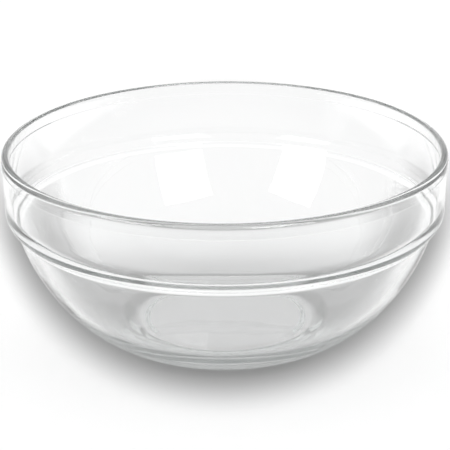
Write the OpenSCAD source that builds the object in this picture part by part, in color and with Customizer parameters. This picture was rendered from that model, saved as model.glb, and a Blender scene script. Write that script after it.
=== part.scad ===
// Round prep bowl of clear pressed glass with a stacking collar, one solid piece.
// Lengths are in millimetres. The origin is the middle of the base on the table, and Z is up.

/* [Bowl] */
// Diameter over the bead at the rim
bowl_d = 230; // [180:1:280]
// Height from the table to the top of the rim
bowl_h = 104; // [96:1:130]

/* [Rim] */
// Thickness across the rim, from the inside wall to the outside of the bead
rim_t = 3.6; // [2.8:0.1:5]
// Height of the bead, from its lower edge to the top of the rim
bead_h = 7.4; // [5:0.1:11]
// How far the bead stands out from the collar
bead_proud = 0.5; // [0.2:0.1:1.2]

/* [Collar] */
// Height above the table at which the straight collar ends and its shoulder begins
shoulder_z = 73.8; // [68:0.1:80]
// How much the outside of the collar draws in from the bead to the shoulder
collar_taper = 0.5; // [0:0.05:1.2]
// Radius of the rounded shoulder under the collar
shoulder_round = 7; // [5:0.1:9]
// How far the shoulder turns in under the collar, in degrees
shoulder_turn = 55; // [40:1:65]
// Radius of the hollow crease where the shoulder runs into the body
crease_round = 6.2; // [3:0.1:9]

/* [Inside] */
// How far the ledge inside the collar lies below the start of the shoulder
ledge_drop = 2.7; // [1.5:0.1:4]
// How much the inside of the collar draws in from the rim to the ledge
inner_taper = 0.6; // [0:0.05:1]
// Height of the hollow curve that leads from the collar down to the ledge
cove_h = 8; // [5:0.1:11]
// Width of the level part of the ledge
ledge_flat = 0.2; // [0:0.05:1]
// Rounding of the edge where the ledge drops into the body
lip_round = 1.4; // [0.5:0.1:2]
// Thickness of the body wall just under the crease
wall_t = 3.6; // [3:0.1:4.4]

/* [Body] */
// Lean of the outside just under the crease, in degrees from upright
outer_lean = 16.5; // [12:0.5:22]
// Slope of the outside at the standing ring, in degrees from level
outer_slope = 9.8; // [6:0.2:14]
// Lean of the inside just under the ledge, in degrees from upright
inner_lean = 15; // [9:0.5:19]
// Slope of the inside at the edge of the floor, in degrees from level
inner_slope = 4; // [1:0.5:8]

/* [Base] */
// Diameter of the ring that the bowl stands on
foot_d = 91; // [82:1:100]
// Width of that ring
ring_w = 2.6; // [1.8:0.1:5]
// Depth of the recess inside the ring
recess_h = 2.5; // [1:0.1:3.5]
// Thickness of the glass in the middle of the floor
floor_t = 8; // [6:0.1:10]
// How far the flat floor reaches past the standing ring
floor_reach = 7; // [4:0.1:10]

/* [Hidden] */

// Steps along each long curve and around each small rounding
curve_steps = 28;
round_steps = 8;
$fn = 180;

// Pull of the long curves at their ends, as shares of the height and width they span
outer_top_share = 0.578;
outer_foot_share = 0.417;
inner_top_share = 0.5;
inner_floor_share = 0.47;
// Part of the rim's thickness that its outer rounding takes
rim_outer_share = 0.8;
// Width of the recess's sloping edge, as a share of the recess's depth
recess_edge_share = 1;

// Rim and bead
bowl_r = bowl_d / 2;
rim_outer_round = rim_t * rim_outer_share;
rim_inner_round = rim_t - rim_outer_round;
crown_r = bowl_r - rim_outer_round;
bead_z = bowl_h - bead_h;
inner_top_r = bowl_r - rim_t;

// Collar, with a round shoulder that turns over into the hollow crease and then the body
collar_top_r = bowl_r - bead_proud;
collar_low_r = collar_top_r - collar_taper;
shoulder_mid = [collar_low_r - shoulder_round, shoulder_z];
turn_point = shoulder_mid + shoulder_round * [cos(shoulder_turn), -sin(shoulder_turn)];
crease_mid = turn_point + crease_round * [cos(shoulder_turn), -sin(shoulder_turn)];
body_top = crease_mid + crease_round * [-cos(outer_lean), sin(outer_lean)];

// Ledge inside the collar, between the hollow curve and the rounded lip
ledge_z = shoulder_z - ledge_drop;
inner_low_r = inner_top_r - inner_taper;
lip_z = ledge_z - lip_round;
lip_r = body_top[0] - wall_t + (lip_z - body_top[1]) * tan(inner_lean);
lip_mid = [lip_r + lip_round, lip_z];
cove_w = inner_low_r - lip_mid[0] - ledge_flat;
cove_mid = [inner_low_r - cove_w, ledge_z + cove_h];

// Base and floor
foot_r = foot_d / 2;
recess_r = foot_r - ring_w;
recess_edge = recess_h * recess_edge_share;
floor_z = recess_h + floor_t;
floor_r = foot_r + floor_reach;

// Points along an arc, from one angle to another
function arc(mid, radius, from, to) = oval(mid, radius, radius, from, to);

// The same for an arc that is wider than high, or the reverse
function oval(mid, width, height, from, to) =
    [for (i = [0:round_steps]) let(a = from + (to - from) * i / round_steps)
        mid + [width * cos(a), height * sin(a)]];

// One point on a smooth curve through two ends with two pull points
function curve_point(a, b, c, d, t) =
    pow(1 - t, 3) * a + 3 * pow(1 - t, 2) * t * b + 3 * (1 - t) * pow(t, 2) * c + pow(t, 3) * d;

function curve(a, b, c, d) =
    [for (i = [0:curve_steps]) curve_point(a, b, c, d, i / curve_steps)];

// Outside of the body, from the standing ring up to the crease
function outer_body() =
    let(foot = [foot_r, 0])
    let(foot_pull = outer_foot_share * (body_top[0] - foot_r))
    let(top_pull = outer_top_share * body_top[1])
    curve(foot, foot + foot_pull * [cos(outer_slope), sin(outer_slope)],
        body_top - top_pull * [sin(outer_lean), cos(outer_lean)], body_top);

// Crease, shoulder and collar outside, up to the lower edge of the bead
function outer_collar() =
    concat(
        arc(crease_mid, crease_round, 180 - outer_lean, 180 - shoulder_turn),
        arc(shoulder_mid, shoulder_round, -shoulder_turn, 0),
        [[collar_top_r, bead_z - bead_proud], [bowl_r, bead_z]]);

// Rounded top of the rim, from the outside over the crown to the inside
function rim_top() =
    concat(
        arc([crown_r, bowl_h - rim_outer_round], rim_outer_round, 0, 90),
        arc([crown_r, bowl_h - rim_inner_round], rim_inner_round, 90, 180));

// Collar inside, with the ledge under it
function inner_collar() =
    concat(
        oval(cove_mid, cove_w, cove_h, 0, -90),
        arc(lip_mid, lip_round, 90, 180 - inner_lean));

// Inside of the body, from the ledge down to the edge of the floor
function inner_body() =
    let(lip = lip_mid + lip_round * [-cos(inner_lean), sin(inner_lean)])
    let(edge = [floor_r, floor_z])
    let(top_pull = inner_top_share * (lip[1] - floor_z))
    let(floor_pull = inner_floor_share * (lip[0] - floor_r))
    curve(lip, lip - top_pull * [sin(inner_lean), cos(inner_lean)],
        edge + floor_pull * [cos(inner_slope), sin(inner_slope)], edge);

// Underside, from the middle of the recess out to the standing ring
function underside() =
    [[0, recess_h], [recess_r - recess_edge, recess_h], [recess_r, 0]];

// Half section of the whole bowl, turned about the Z axis
module glass_bowl() {
    color([0.86, 0.91, 0.92, 0.45])
        rotate_extrude()
            polygon(concat(
                underside(), outer_body(), outer_collar(), rim_top(),
                inner_collar(), inner_body(), [[0, floor_z]]));
}

glass_bowl();
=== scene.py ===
"""Pressed glass prep bowl: the piece, its glass and a small white studio."""

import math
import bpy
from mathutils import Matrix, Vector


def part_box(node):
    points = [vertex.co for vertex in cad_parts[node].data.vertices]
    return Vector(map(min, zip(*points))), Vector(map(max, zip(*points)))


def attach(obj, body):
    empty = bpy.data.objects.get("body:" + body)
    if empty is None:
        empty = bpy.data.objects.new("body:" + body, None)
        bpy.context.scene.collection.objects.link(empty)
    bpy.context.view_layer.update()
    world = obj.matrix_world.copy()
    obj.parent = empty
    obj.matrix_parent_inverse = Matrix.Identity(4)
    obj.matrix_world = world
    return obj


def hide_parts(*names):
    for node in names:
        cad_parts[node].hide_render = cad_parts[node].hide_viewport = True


bl_info = {
    "name": "Glass Prep Bowl",
    "version": (1, 0, 0),
    "blender": (4, 5, 0),
    "location": "3D View > Sidebar > Prep Bowl",
    "description": "Builds a clear pressed glass prep bowl with a stacking collar, in a white studio",
    "category": "Add Mesh",
}

import bmesh
import bpy
from bpy.props import FloatProperty, FloatVectorProperty, IntProperty, PointerProperty
from mathutils import Matrix, Vector, noise
from mathutils.geometry import interpolate_bezier

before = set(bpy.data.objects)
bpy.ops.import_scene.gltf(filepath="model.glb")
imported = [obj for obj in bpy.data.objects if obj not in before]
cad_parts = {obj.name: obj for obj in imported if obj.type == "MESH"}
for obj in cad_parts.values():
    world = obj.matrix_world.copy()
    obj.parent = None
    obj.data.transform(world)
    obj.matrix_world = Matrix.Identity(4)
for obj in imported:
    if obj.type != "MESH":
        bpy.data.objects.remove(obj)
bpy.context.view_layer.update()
BOWL_LOW, BOWL_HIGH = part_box("glass_bowl")
BOWL_WIDTH = 2 * min(-BOWL_LOW[0], BOWL_HIGH[0])
BOWL_HEIGHT = BOWL_HIGH[2] - BOWL_LOW[2]

# Points closer than this, in metres, are one point
MERGE = 1e-6
# Steps along each stretch of the half section, from the middle underneath to the middle of the floor
RECESS_PARTS = 14
RING_PARTS = 2
BODY_PARTS = 56
CREASE_PARTS = 10
SHOULDER_PARTS = 14
COLLAR_PARTS = 10
BEAD_PARTS = 3
RIM_OUTER_PARTS = 12
RIM_INNER_PARTS = 6
INNER_COLLAR_PARTS = 12
COVE_PARTS = 14
LIP_PARTS = 7
FLOOR_PARTS = 18
# Edges that turn by more than this stay crisp
CRISP_TURN = math.radians(32.0)

# Places in the noise where the broad and the fine waves start, and the size of fine waves to broad ones
BROAD_START = Vector((3.1, 7.7, 1.3))
FINE_START = Vector((11.0, 2.0, 5.0))
FINE_SIZE = 0.4
# Shares of the wave depth: everywhere, by the broad waves and by the fine ones
WAVE_LEVEL, WAVE_BROAD, WAVE_FINE = 0.5, 0.4, 0.1
# Height under the bead over which the waves die away
CALM_HEIGHT = 0.012
# Distance outside the standing ring over which the fine rings rise, and distances between which they end
RINGS_RISE = 0.004
RINGS_FALL = (0.02, 0.04)
# Size of the patches in which the fine rings come and go
RINGS_PATCH = 0.03
# Half width of the plunger's mark, and how far a surface must face upwards to carry it
MARK_WIDTH = 0.0012
MARK_FACING = 0.5

# Scale and detail of the noise behind the tint, the polish and the bump
CLOUD_NOISE = (26.0, 3.0)
POLISH_NOISE = (60.0, 2.0)
RIPPLE_NOISE = (90.0, 1.0)
# Part of the polish noise that roughens the glass, and the roughness that it reaches
POLISH_FROM, POLISH_TO = 0.35, 0.75
POLISH_MOST = 0.008
# Strength and depth of the bump
RIPPLE_STRENGTH = 0.05
RIPPLE_DEPTH = 0.0002

# Softboxes in front of the bowl, to the right and to the left, whose reflections show inside it
SOFTBOXES = (("Softbox right", (0.5, -0.92, 0.68)), ("Softbox left", (-0.86, -0.74, 0.6)))
# Painted shade on the floor round the foot, from the middle of the bowl outwards. Each pair, here and in
# the ramps below, is a place, as a share of the distance that the ramp spans, and a brightness of the floor
NEAR_SHADE = ((0.36, 0.7), (0.4, 0.34), (0.73, 1.0))
# Painted shade across the edge of the painted long shadow on the floor, and inside it
EDGE_SHADE = ((0.48, 1.0), (0.66, 0.36), (0.755, 1.0))
INNER_SHADE = ((0.4, 0.55), (0.65, 0.4), (0.72, 1.0))
# How far behind the middle, in metres, each of these two starts and stops fading, and how much of it fades
EDGE_FADE = (0.12, 0.34, 1.0)
INNER_FADE = (0.03, 0.17, 0.85)
# Distance that these two ramps span, as a multiple of the size of the ovals
LONG_SPAN = 1.25
# Where the brighter floor under the middle of the bowl gives way to the painted long shadow, by distance as
# round the foot
MIDDLE_LIGHT = ((0.38, 1.0), (0.5, 0.0))
# How far the floor lies under the bowl, so that the two don't share a face
FLOOR_DROP = 0.0002
# Width of the camera's sensor in millimetres, and the nearest distance that it sees, in metres
SENSOR_WIDTH = 36.0
NEAREST = 0.01


def length(label, about, value):
    """A size in metres that the sidebar shows."""
    return FloatProperty(name=label, description=about, default=value, unit="LENGTH", precision=5)


def angle(label, about, degrees):
    """An angle that the sidebar shows in degrees."""
    return FloatProperty(name=label, description=about, default=math.radians(degrees), subtype="ANGLE")


def share(label, about, value):
    """A plain number from 0 up."""
    return FloatProperty(name=label, description=about, default=value, min=0.0, precision=4)


def colour(label, about, value):
    """A colour picked in the sidebar."""
    return FloatVectorProperty(name=label, description=about, default=value, size=3, min=0.0, max=1.0,
                               subtype="COLOR")


class BowlSizes(bpy.types.PropertyGroup):
    """Sizes of the half section that is spun into the bowl."""

    width: length("Width", "Diameter over the bead at the rim", BOWL_WIDTH)
    height: length("Height", "Height from the table to the top of the rim", BOWL_HEIGHT)
    rim: length("Rim", "Thickness across the rim, bead included", 0.0036)
    rim_outer: share("Rim outer rounding", "Part of the rim's thickness that its outer rounding takes", 0.8)
    bead_height: length("Bead height", "Height of the bead at the rim", 0.0074)
    bead_proud: length("Bead step", "How far the bead stands out from the collar", 0.0005)
    shoulder_z: length("Shoulder height", "Height at which the straight collar turns in", 0.0738)
    collar_taper: length("Collar taper", "How much the collar draws in down to the shoulder", 0.0005)
    shoulder_round: length("Shoulder radius", "Radius of the rounded shoulder", 0.007)
    shoulder_turn: angle("Shoulder turn", "How far the shoulder turns in under the collar", 55.0)
    crease_round: length("Crease radius", "Radius of the hollow crease under the shoulder", 0.0062)
    ledge_drop: length("Ledge drop", "How far the ledge inside lies below the shoulder's start", 0.0027)
    inner_taper: length("Inner taper", "How much the collar's inside draws in towards the ledge", 0.0006)
    cove: length("Cove height", "Height of the hollow curve over the ledge", 0.008)
    ledge_flat: length("Ledge flat", "Width of the level part of the ledge", 0.0002)
    lip_round: length("Lip radius", "Rounding where the ledge drops into the body", 0.0014)
    wall: length("Wall", "Wall thickness just under the crease", 0.0036)
    outer_lean: angle("Outer lean", "Lean of the outside under the crease, from upright", 16.5)
    outer_slope: angle("Outer slope", "Slope of the outside at the standing ring", 9.8)
    inner_lean: angle("Inner lean", "Lean of the inside under the ledge, from upright", 15.0)
    inner_slope: angle("Inner slope", "Slope of the inside at the edge of the floor", 4.0)
    outer_top: share("Outer top pull", "Pull of the outer curve at its top, for its height", 0.578)
    outer_foot: share("Outer foot pull", "Pull of the outer curve at the foot, for its width", 0.417)
    inner_top: share("Inner top pull", "Pull of the inner curve at its top, for its height", 0.5)
    inner_floor: share("Inner floor pull", "Pull of the inner curve at the floor, for its width", 0.47)
    foot: length("Foot", "Diameter of the standing ring", 0.091)
    ring: length("Ring width", "Width of the standing ring", 0.0026)
    recess: length("Recess", "Depth of the recess inside the ring", 0.0025)
    floor: length("Floor", "Thickness of the glass in the middle of the floor", 0.008)
    floor_reach: length("Floor reach", "How far the flat floor reaches past the ring", 0.007)
    steps: IntProperty(name="Steps", description="Steps round the whole bowl", default=288, min=24)


class GlassLook(bpy.types.PropertyGroup):
    """Finish of the glass and how uneven the pressing left it."""

    clear: colour("Clear glass", "Tint of the clearest places", (0.998, 0.999, 0.999))
    faint: colour("Faint tint", "Tint of the slightly greyer places", (0.985, 0.989, 0.989))
    depth_colour: colour("Depth colour", "Tint that thick glass takes", (0.2, 0.24, 0.23))
    depth_density: share("Depth density", "How soon thick glass takes its tint", 5.0)
    bend: FloatProperty(name="Refraction", description="Refractive index of soda lime glass", default=1.52)
    wave: length("Wave depth", "Depth of the broad waves in the pressed surfaces", 0.0001)
    wave_size: length("Wave size", "Distance from one broad wave to the next", 0.022)
    mark: length("Plunger mark depth", "Depth of the round mark that the plunger leaves inside", 0.0002)
    mark_radius: length("Plunger mark radius", "Distance of that mark from the middle", 0.0541)
    ring_wave: length("Ring wave depth", "Depth of the fine rings that the mould leaves low down", 0.00005)
    ring_pitch: length("Ring wave pitch", "Distance from one fine ring to the next", 0.0034)


class StudioLook(bpy.types.PropertyGroup):
    """Floor, light and camera."""

    floor_colour: colour("Floor colour", "Colour of the floor under the light", (0.5, 0.5, 0.5))
    reach: length("Floor size", "Length of each side of the floor", 6.0)
    sky: share("Sky strength", "Strength of the white surroundings", 1.0)
    softbox_power: share("Softbox power", "Power of each softbox, seen only as a reflection", 8.0)
    softbox_size: length("Softbox size", "Length of each side of a softbox", 0.62)
    lift: share("Floor lift", "Own light of the floor that only the camera and the glass see", 0.56)
    # Sizes of the shade painted on the floor: round the foot, and in two ovals of a long shadow behind the
    # bowl
    shade_reach: length("Shade reach", "Distance from the middle that the foot's shade spans", 0.125)
    inner_half_width: length("Inner half width", "Half the width of the shadow's inner oval", 0.145)
    inner_half_length: length("Inner half length", "Half the length of that oval", 0.3)
    inner_back: length("Inner set back", "How far the middle of that oval lies behind the bowl", 0.2)
    edge_half_width: length("Edge half width", "Half the width of the shadow's outer oval", 0.175)
    edge_half_length: length("Edge half length", "Half the length of that oval", 0.526)
    edge_back: length("Edge set back", "How far the middle of that oval lies behind the bowl", 0.387)
    camera_far: length("Camera distance", "Distance from the camera to the middle of the bowl", 1.2)
    camera_rise: angle("Camera angle", "How far the camera looks down", 20.85)
    camera_roll: angle("Camera roll", "How far the camera is turned about its own line of sight", 0.27)
    camera_lens: FloatProperty(name="Lens", description="Focal length", default=183.86, unit="CAMERA")
    bounces: IntProperty(name="Bounces", description="Turns of light inside the glass", default=32, min=1)
    aim: length("Aim height", "Height of the point that the camera looks at", 0.06056)


def draw_to(bm, end, *places):
    """Draw on from a loose end through each place in turn, and return the new end."""
    for place in places:
        end = bmesh.ops.extrude_vert_indiv(bm, verts=[end])["verts"][0]
        end.co = place
    return end


def draw_line(bm, end, place, parts):
    """Draw a straight line in equal parts."""
    start = end.co.copy()
    return draw_to(bm, end, *[start.lerp(place, (i + 1) / parts) for i in range(parts)])


def draw_turn(bm, end, middle, turn, parts):
    """Swing the loose end round a middle point, a positive turn going from up towards out."""
    made = bmesh.ops.spin(bm, geom=[end], cent=middle, axis=(0.0, 1.0, 0.0), angle=turn, steps=parts)
    return next(part for part in made["geom_last"] if isinstance(part, bmesh.types.BMVert))


def draw_curve(bm, end, pull_a, pull_b, place, parts):
    """Draw one smooth curve that leaves along the first pull and arrives along the second."""
    points = interpolate_bezier(end.co, end.co + pull_a, place + pull_b, place, parts + 1)
    return draw_to(bm, end, *points[1:])


def flat(x, z):
    """A place in the half section."""
    return Vector((x, 0.0, z))


def lean(turn, size):
    """A step down and inwards along a wall that leans by the given turn."""
    return flat(-size * math.sin(turn), -size * math.cos(turn))


def slope(turn, size):
    """A step outwards and up along a floor that slopes by the given turn."""
    return flat(size * math.cos(turn), size * math.sin(turn))


def draw_section(bm, sizes):
    """Draw the half section as one open line, from the middle underneath to the middle of the floor."""
    radius = sizes.width / 2
    foot_r = sizes.foot / 2
    recess_r = foot_r - sizes.ring
    floor_z = sizes.recess + sizes.floor
    floor_r = foot_r + sizes.floor_reach

    collar_top = radius - sizes.bead_proud
    collar_low = collar_top - sizes.collar_taper
    shoulder_mid = flat(collar_low - sizes.shoulder_round, sizes.shoulder_z)
    # From the shoulder's middle to the crease's middle, through the point where the two meet
    across = flat(math.cos(sizes.shoulder_turn), -math.sin(sizes.shoulder_turn))
    turn_point = shoulder_mid + sizes.shoulder_round * across
    crease_mid = turn_point + sizes.crease_round * across
    inwards = flat(-math.cos(sizes.outer_lean), math.sin(sizes.outer_lean))
    body_top = crease_mid + sizes.crease_round * inwards

    ledge_z = sizes.shoulder_z - sizes.ledge_drop
    inner_top_r = radius - sizes.rim
    inner_low_r = inner_top_r - sizes.inner_taper
    lip_z = ledge_z - sizes.lip_round
    lip_r = body_top.x - sizes.wall + (lip_z - body_top.z) * math.tan(sizes.inner_lean)
    lip_mid = flat(lip_r + sizes.lip_round, lip_z)
    cove_width = inner_low_r - lip_mid.x - sizes.ledge_flat
    # Pull with which a smooth curve follows a quarter of an oval
    round_pull = 4 / 3 * math.tan(math.pi / 8)

    # Underside: recess, its sloping edge and the standing ring
    end = bm.verts.new(flat(0.0, sizes.recess))
    end = draw_line(bm, end, flat(recess_r - sizes.recess, sizes.recess), RECESS_PARTS)
    end = draw_line(bm, end, flat(recess_r, 0.0), RING_PARTS)
    end = draw_line(bm, end, flat(foot_r, 0.0), RING_PARTS)
    # Outside of the body, then the crease and the shoulder
    foot_pull = slope(sizes.outer_slope, sizes.outer_foot * (body_top.x - foot_r))
    top_pull = lean(sizes.outer_lean, sizes.outer_top * body_top.z)
    end = draw_curve(bm, end, foot_pull, top_pull, body_top, BODY_PARTS)
    end = draw_turn(bm, end, crease_mid, sizes.shoulder_turn - sizes.outer_lean, CREASE_PARTS)
    end = draw_turn(bm, end, shoulder_mid, -sizes.shoulder_turn, SHOULDER_PARTS)
    # Collar, bead and rim
    bead_z = sizes.height - sizes.bead_height
    end = draw_line(bm, end, flat(collar_top, bead_z - sizes.bead_proud), COLLAR_PARTS)
    end = draw_to(bm, end, flat(radius, bead_z))
    outer_round = sizes.rim * sizes.rim_outer
    inner_round = sizes.rim - outer_round
    end = draw_line(bm, end, flat(radius, sizes.height - outer_round), BEAD_PARTS)
    # A quarter turn from out towards up, or from up towards in
    quarter = -math.pi / 2
    outer_mid = flat(radius - outer_round, sizes.height - outer_round)
    end = draw_turn(bm, end, outer_mid, quarter, RIM_OUTER_PARTS)
    end = draw_turn(bm, end, flat(end.co.x, sizes.height - inner_round), quarter, RIM_INNER_PARTS)
    # Inside of the collar, its cove and the ledge
    end = draw_line(bm, end, flat(inner_low_r, ledge_z + sizes.cove), INNER_COLLAR_PARTS)
    cove_pull = flat(0.0, -sizes.cove * round_pull)
    ledge_pull = flat(cove_width * round_pull, 0.0)
    cove_end = flat(inner_low_r - cove_width, ledge_z)
    end = draw_curve(bm, end, cove_pull, ledge_pull, cove_end, COVE_PARTS)
    end = draw_to(bm, end, flat(lip_mid.x, ledge_z))
    end = draw_turn(bm, end, lip_mid, quarter + sizes.inner_lean, LIP_PARTS)
    # Inside of the body, down to the floor
    lip_pull = lean(sizes.inner_lean, sizes.inner_top * (end.co.z - floor_z))
    floor_pull = slope(sizes.inner_slope, sizes.inner_floor * (end.co.x - floor_r))
    end = draw_curve(bm, end, lip_pull, floor_pull, flat(floor_r, floor_z), BODY_PARTS)
    draw_line(bm, end, flat(0.0, floor_z), FLOOR_PARTS)


def fade(value, low, high):
    """Rise smoothly from 0 at low to 1 at high."""
    part = min(max((value - low) / (high - low), 0.0), 1.0)
    return part * part * (3.0 - 2.0 * part)


def half_up(value):
    """Turn a value that swings from -1 to 1 into one from 0 to 1."""
    return 0.5 + 0.5 * value


def wave_surface(bm, sizes, look):
    """Sink the surfaces a little here and there, as a pressed and fire polished piece has them."""
    bm.normal_update()
    foot_r = sizes.foot / 2
    rim_low = sizes.height - sizes.bead_height
    for vert in bm.verts:
        place = vert.co
        radius = place.xy.length
        # What stands on the table or lies on the axis stays where it is
        if place.z < MERGE or radius < MERGE:
            continue
        broad = noise.noise(place / look.wave_size + BROAD_START)
        fine = noise.noise(place / (look.wave_size * FINE_SIZE) + FINE_START)
        waving = 1.0 - fade(place.z, rim_low - CALM_HEIGHT, rim_low)
        depth = look.wave * waving * (WAVE_LEVEL + WAVE_BROAD * broad + WAVE_FINE * fine)
        rings = half_up(math.cos(math.tau * radius / look.ring_pitch))
        near_base = fade(radius, foot_r, foot_r + RINGS_RISE)
        near_base *= 1.0 - fade(radius, foot_r + RINGS_FALL[0], foot_r + RINGS_FALL[1])
        uneven = half_up(noise.noise(Vector((place.x, place.y, 0.0)) / RINGS_PATCH))
        depth += look.ring_wave * rings * near_base * uneven
        if vert.normal.z > MARK_FACING:
            depth += look.mark * math.exp(-((radius - look.mark_radius) / MARK_WIDTH) ** 2)
        vert.co = place - vert.normal * max(depth, 0.0)


def link_nodes(tree, *pairs):
    """Join an output to an input for each pair."""
    for start, stop in pairs:
        tree.links.new(start, stop)


def range_node(tree, low, high, most):
    """A Map Range node that rises from 0 at low to most at high."""
    node = tree.nodes.new("ShaderNodeMapRange")
    node.inputs["From Min"].default_value = low
    node.inputs["From Max"].default_value = high
    node.inputs["To Max"].default_value = most
    return node


def noise_node(tree, scale, detail):
    """A Noise Texture of the given scale and detail."""
    node = tree.nodes.new("ShaderNodeTexNoise")
    node.inputs["Scale"].default_value = scale
    node.inputs["Detail"].default_value = detail
    return node


def glass_material(look):
    """Clear glass with a faint cloudiness of tint, an uneven polish and small waves in it."""
    material = bpy.data.materials.new("Clear pressed glass")
    material.use_nodes = True
    tree = material.node_tree
    shader = tree.nodes["Principled BSDF"]
    shader.inputs["IOR"].default_value = look.bend
    shader.inputs["Transmission Weight"].default_value = 1.0
    depth = tree.nodes.new("ShaderNodeVolumeAbsorption")
    depth.inputs["Color"].default_value = (*look.depth_colour, 1.0)
    depth.inputs["Density"].default_value = look.depth_density
    tree.links.new(depth.outputs["Volume"], tree.nodes["Material Output"].inputs["Volume"])
    place = tree.nodes.new("ShaderNodeTexCoord")

    cloud = noise_node(tree, *CLOUD_NOISE)
    tint = tree.nodes.new("ShaderNodeMix")
    tint.data_type = "RGBA"
    tint.inputs["A"].default_value = (*look.clear, 1.0)
    tint.inputs["B"].default_value = (*look.faint, 1.0)

    polish = noise_node(tree, *POLISH_NOISE)
    rough = range_node(tree, POLISH_FROM, POLISH_TO, POLISH_MOST)

    ripple = noise_node(tree, *RIPPLE_NOISE)
    bump = tree.nodes.new("ShaderNodeBump")
    bump.inputs["Strength"].default_value = RIPPLE_STRENGTH
    bump.inputs["Distance"].default_value = RIPPLE_DEPTH

    link_nodes(
        tree,
        (place.outputs["Object"], cloud.inputs["Vector"]),
        (place.outputs["Object"], polish.inputs["Vector"]),
        (place.outputs["Object"], ripple.inputs["Vector"]),
        (cloud.outputs["Fac"], tint.inputs["Factor"]),
        (tint.outputs["Result"], shader.inputs["Base Color"]),
        (polish.outputs["Fac"], rough.inputs["Value"]),
        (rough.outputs["Result"], shader.inputs["Roughness"]),
        (ripple.outputs["Fac"], bump.inputs["Height"]),
        (bump.outputs["Normal"], shader.inputs["Normal"]),
    )
    return material


def ramp_node(tree, stops):
    """A smooth ramp of grey levels, each stop a place from 0 to 1 and a brightness."""
    node = tree.nodes.new("ShaderNodeValToRGB")
    ramp = node.color_ramp
    ramp.interpolation = "EASE"
    while len(ramp.elements) < len(stops):
        ramp.elements.new(0.5)
    for element, (place, level) in zip(ramp.elements, stops):
        element.position = place
        element.color = (level, level, level, 1.0)
    return node


def math_node(tree, kind, second=0.0, clamp=False):
    """A Math node, with the plain value that its second input has where nothing is linked to it."""
    node = tree.nodes.new("ShaderNodeMath")
    node.operation = kind
    node.use_clamp = clamp
    node.inputs[1].default_value = second
    return node


def oval_share(tree, place, half_width, half_length, back):
    """Distance from the middle of an oval set back behind the bowl, as a share of the ramps' span."""
    fit = tree.nodes.new("ShaderNodeMapping")
    fit.inputs["Scale"].default_value = (1.0 / half_width, 1.0 / half_length, 0.0)
    fit.inputs["Location"].default_value = (0.0, -back / half_length, 0.0)
    size = tree.nodes.new("ShaderNodeVectorMath")
    size.operation = "LENGTH"
    part = math_node(tree, "DIVIDE", second=LONG_SPAN)
    link_nodes(
        tree,
        (place.outputs["Object"], fit.inputs["Vector"]),
        (fit.outputs["Vector"], size.inputs[0]),
        (size.outputs["Value"], part.inputs[0]),
    )
    return part


def fading_ramp(tree, distance, place, stops, fading_out):
    """A ramp over distance that gets lighter towards the back."""
    ramp = ramp_node(tree, stops)
    fading = range_node(tree, *fading_out)
    fading.interpolation_type = "SMOOTHSTEP"
    lighter = tree.nodes.new("ShaderNodeMix")
    lighter.inputs["B"].default_value = 1.0
    link_nodes(
        tree,
        (distance.outputs["Value"], ramp.inputs["Fac"]),
        (place.outputs["Y"], fading.inputs["Value"]),
        (fading.outputs["Result"], lighter.inputs["Factor"]),
        (ramp.outputs["Color"], lighter.inputs["A"]),
    )
    return lighter


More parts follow.
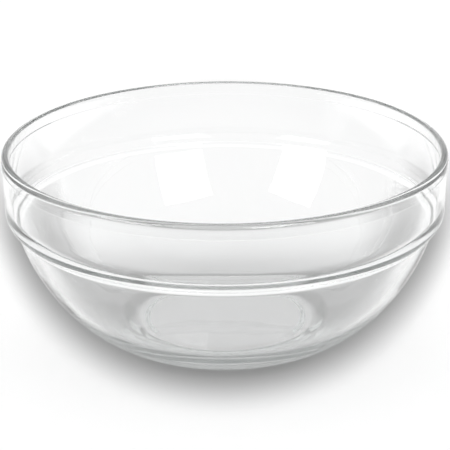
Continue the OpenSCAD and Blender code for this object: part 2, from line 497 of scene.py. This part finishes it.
def floor_material(look):
    """Matt white floor with a painted soft shade round the foot and a painted long soft shadow behind the
    bowl, on top of the shadow that the bowl really casts.
    """
    material = bpy.data.materials.new("White floor")
    material.use_nodes = True
    material.cycles.emission_sampling = "NONE"
    tree = material.node_tree
    shader = tree.nodes["Principled BSDF"]
    shader.inputs["Roughness"].default_value = 1.0
    shader.inputs["Specular IOR Level"].default_value = 0.0
    place = tree.nodes.new("ShaderNodeTexCoord")
    split = tree.nodes.new("ShaderNodeSeparateXYZ")

    # Painted shade round the foot, by distance from the middle
    near = tree.nodes.new("ShaderNodeVectorMath")
    near.operation = "LENGTH"
    near_share = math_node(tree, "DIVIDE", second=look.shade_reach)
    near_ramp = ramp_node(tree, NEAR_SHADE)

    # The painted long shadow, by distance in two ovals set back behind the bowl, with the floor left
    # unshaded under its middle
    edge_share = oval_share(tree, place, look.edge_half_width, look.edge_half_length, look.edge_back)
    edge = fading_ramp(tree, edge_share, split, EDGE_SHADE, EDGE_FADE)
    inner_share = oval_share(tree, place, look.inner_half_width, look.inner_half_length, look.inner_back)
    inner = fading_ramp(tree, inner_share, split, INNER_SHADE, INNER_FADE)
    long_shade = math_node(tree, "MINIMUM")
    middle_ramp = ramp_node(tree, MIDDLE_LIGHT)
    far_shade = math_node(tree, "MAXIMUM")

    # The painted shade: the darker of the two, which darkens the floor colour below
    shade = math_node(tree, "MINIMUM")
    tint = tree.nodes.new("ShaderNodeMix")
    tint.data_type = "RGBA"
    tint.blend_type = "MULTIPLY"
    tint.inputs["Factor"].default_value = 1.0
    tint.inputs["A"].default_value = (*look.floor_colour, 1.0)

    # A little light of its own, which only the camera and the glass see, lifts the open floor to white, and
    # the painted shade darkens that light too
    ray = tree.nodes.new("ShaderNodeLightPath")
    seen = math_node(tree, "ADD")
    seen_all = math_node(tree, "ADD", clamp=True)
    lift = math_node(tree, "MULTIPLY", second=look.lift)
    lift_shade = math_node(tree, "MULTIPLY")
    shader.inputs["Emission Color"].default_value = (1.0, 1.0, 1.0, 1.0)

    link_nodes(
        tree,
        (place.outputs["Object"], split.inputs["Vector"]),
        (place.outputs["Object"], near.inputs[0]),
        (near.outputs["Value"], near_share.inputs[0]),
        (near_share.outputs["Value"], near_ramp.inputs["Fac"]),
        (edge.outputs["Result"], long_shade.inputs[0]),
        (inner.outputs["Result"], long_shade.inputs[1]),
        (near_ramp.outputs["Color"], shade.inputs[0]),
        (near_share.outputs["Value"], middle_ramp.inputs["Fac"]),
        (middle_ramp.outputs["Color"], far_shade.inputs[0]),
        (long_shade.outputs["Value"], far_shade.inputs[1]),
        (far_shade.outputs["Value"], shade.inputs[1]),
        (shade.outputs["Value"], tint.inputs["B"]),
        (tint.outputs["Result"], shader.inputs["Base Color"]),
        (ray.outputs["Is Camera Ray"], seen.inputs[0]),
        (ray.outputs["Is Glossy Ray"], seen.inputs[1]),
        (seen.outputs["Value"], seen_all.inputs[0]),
        (ray.outputs["Is Transmission Ray"], seen_all.inputs[1]),
        (seen_all.outputs["Value"], lift.inputs[0]),
        (lift.outputs["Value"], lift_shade.inputs[0]),
        (shade.outputs["Value"], lift_shade.inputs[1]),
        (lift_shade.outputs["Value"], shader.inputs["Emission Strength"]),
    )
    return material


def studio_world(look):
    """Even white surroundings."""
    world = bpy.data.worlds.new("Studio")
    world.use_nodes = True
    background = world.node_tree.nodes["Background"]
    background.inputs["Color"].default_value = (1.0, 1.0, 1.0, 1.0)
    background.inputs["Strength"].default_value = look.sky
    return world


def add_softbox(scene, look, name, place):
    """A square softbox aimed at the bowl, which lights nothing but its own reflection."""
    lamp = bpy.data.lights.new(name, "AREA")
    lamp.size = look.softbox_size
    lamp.energy = look.softbox_power
    softbox = bpy.data.objects.new(name, lamp)
    softbox.location = place
    back = Vector(place) - Vector((0.0, 0.0, look.aim))
    softbox.rotation_euler = back.to_track_quat("Z", "Y").to_euler()
    softbox.visible_camera = False
    softbox.visible_diffuse = False
    softbox.visible_transmission = False
    scene.collection.objects.link(softbox)


class PREPBOWL_OT_bowl(bpy.types.Operator):
    """Spin the glass bowl from its half section"""

    bl_idname = "prepbowl.bowl"
    bl_label = "Glass Bowl"

    def execute(self, context):
        sizes = context.scene.prepbowl_sizes
        look = context.scene.prepbowl_glass
        bm = bmesh.new()
        draw_section(bm, sizes)
        bmesh.ops.spin(bm, geom=bm.verts[:] + bm.edges[:], cent=(0.0, 0.0, 0.0), axis=(0.0, 0.0, 1.0),
                       angle=math.tau, steps=sizes.steps, use_merge=True)
        bmesh.ops.remove_doubles(bm, verts=bm.verts, dist=MERGE)
        bmesh.ops.recalc_face_normals(bm, faces=bm.faces)
        wave_surface(bm, sizes, look)
        for face in bm.faces:
            face.smooth = True
        mesh = bpy.data.meshes.new("glass_bowl_body")
        bm.to_mesh(mesh)
        bm.free()
        mesh.set_sharp_from_angle(angle=CRISP_TURN)
        mesh.materials.append(glass_material(look))
        bowl = bpy.data.objects.new("glass_bowl_body", mesh)
        context.scene.collection.objects.link(bowl)
        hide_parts("glass_bowl")
        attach(bowl, "root")
        return {"FINISHED"}


class PREPBOWL_OT_studio(bpy.types.Operator):
    """Lay the white floor, light the bowl and set the camera"""

    bl_idname = "prepbowl.studio"
    bl_label = "White Studio"

    def execute(self, context):
        scene = context.scene
        look = scene.prepbowl_studio
        bm = bmesh.new()
        bmesh.ops.create_grid(bm, x_segments=2, y_segments=2, size=look.reach / 2,
                              matrix=Matrix.Translation((0.0, 0.0, -FLOOR_DROP)))
        mesh = bpy.data.meshes.new("studio_floor")
        bm.to_mesh(mesh)
        bm.free()
        mesh.materials.append(floor_material(look))
        floor = bpy.data.objects.new("studio_floor", mesh)
        scene.collection.objects.link(floor)
        scene.world = studio_world(look)
        for name, place in SOFTBOXES:
            add_softbox(scene, look, name, place)

        camera_data = bpy.data.cameras.new("Camera")
        camera_data.sensor_width = SENSOR_WIDTH
        camera_data.lens = look.camera_lens
        camera_data.clip_start = NEAREST
        camera = bpy.data.objects.new("Camera", camera_data)
        aim = Vector((0.0, 0.0, look.aim))
        back = Vector((0.0, -math.cos(look.camera_rise), math.sin(look.camera_rise)))
        camera.location = aim + back * look.camera_far
        view = back.to_track_quat("Z", "Y").to_matrix() @ Matrix.Rotation(-look.camera_roll, 3, "Z")
        camera.rotation_euler = view.to_euler()
        scene.collection.objects.link(camera)
        scene.camera = camera
        scene.view_settings.view_transform = "Standard"
        # Light piped along the wall turns many times before it leaves
        scene.cycles.max_bounces = look.bounces
        scene.cycles.glossy_bounces = look.bounces
        scene.cycles.transmission_bounces = look.bounces
        return {"FINISHED"}


class PREPBOWL_PT_panel(bpy.types.Panel):
    """Builds the bowl and the studio from the sidebar"""

    bl_idname = "PREPBOWL_PT_panel"
    bl_label = "Prep Bowl"
    bl_space_type = "VIEW_3D"
    bl_region_type = "UI"
    bl_category = "Prep Bowl"

    def draw(self, context):
        layout = self.layout
        scene = context.scene
        for title, group in (("Sizes", scene.prepbowl_sizes), ("Glass", scene.prepbowl_glass),
                             ("Studio", scene.prepbowl_studio)):
            box = layout.box()
            box.label(text=title)
            for name in group.__annotations__:
                box.prop(group, name)
        layout.operator(PREPBOWL_OT_bowl.bl_idname)
        layout.operator(PREPBOWL_OT_studio.bl_idname)


CLASSES = (BowlSizes, GlassLook, StudioLook, PREPBOWL_OT_bowl, PREPBOWL_OT_studio, PREPBOWL_PT_panel)


def register():
    """Make the sizes, the operators and the panel known."""
    for item in CLASSES:
        bpy.utils.register_class(item)
    bpy.types.Scene.prepbowl_sizes = PointerProperty(type=BowlSizes)
    bpy.types.Scene.prepbowl_glass = PointerProperty(type=GlassLook)
    bpy.types.Scene.prepbowl_studio = PointerProperty(type=StudioLook)


def unregister():
    """Take them away again."""
    del bpy.types.Scene.prepbowl_studio
    del bpy.types.Scene.prepbowl_glass
    del bpy.types.Scene.prepbowl_sizes
    for item in reversed(CLASSES):
        bpy.utils.unregister_class(item)


def main():
    """Build everything."""
    register()
    bpy.ops.prepbowl.bowl()
    bpy.ops.prepbowl.studio()


if __name__ == "__main__":
    main()
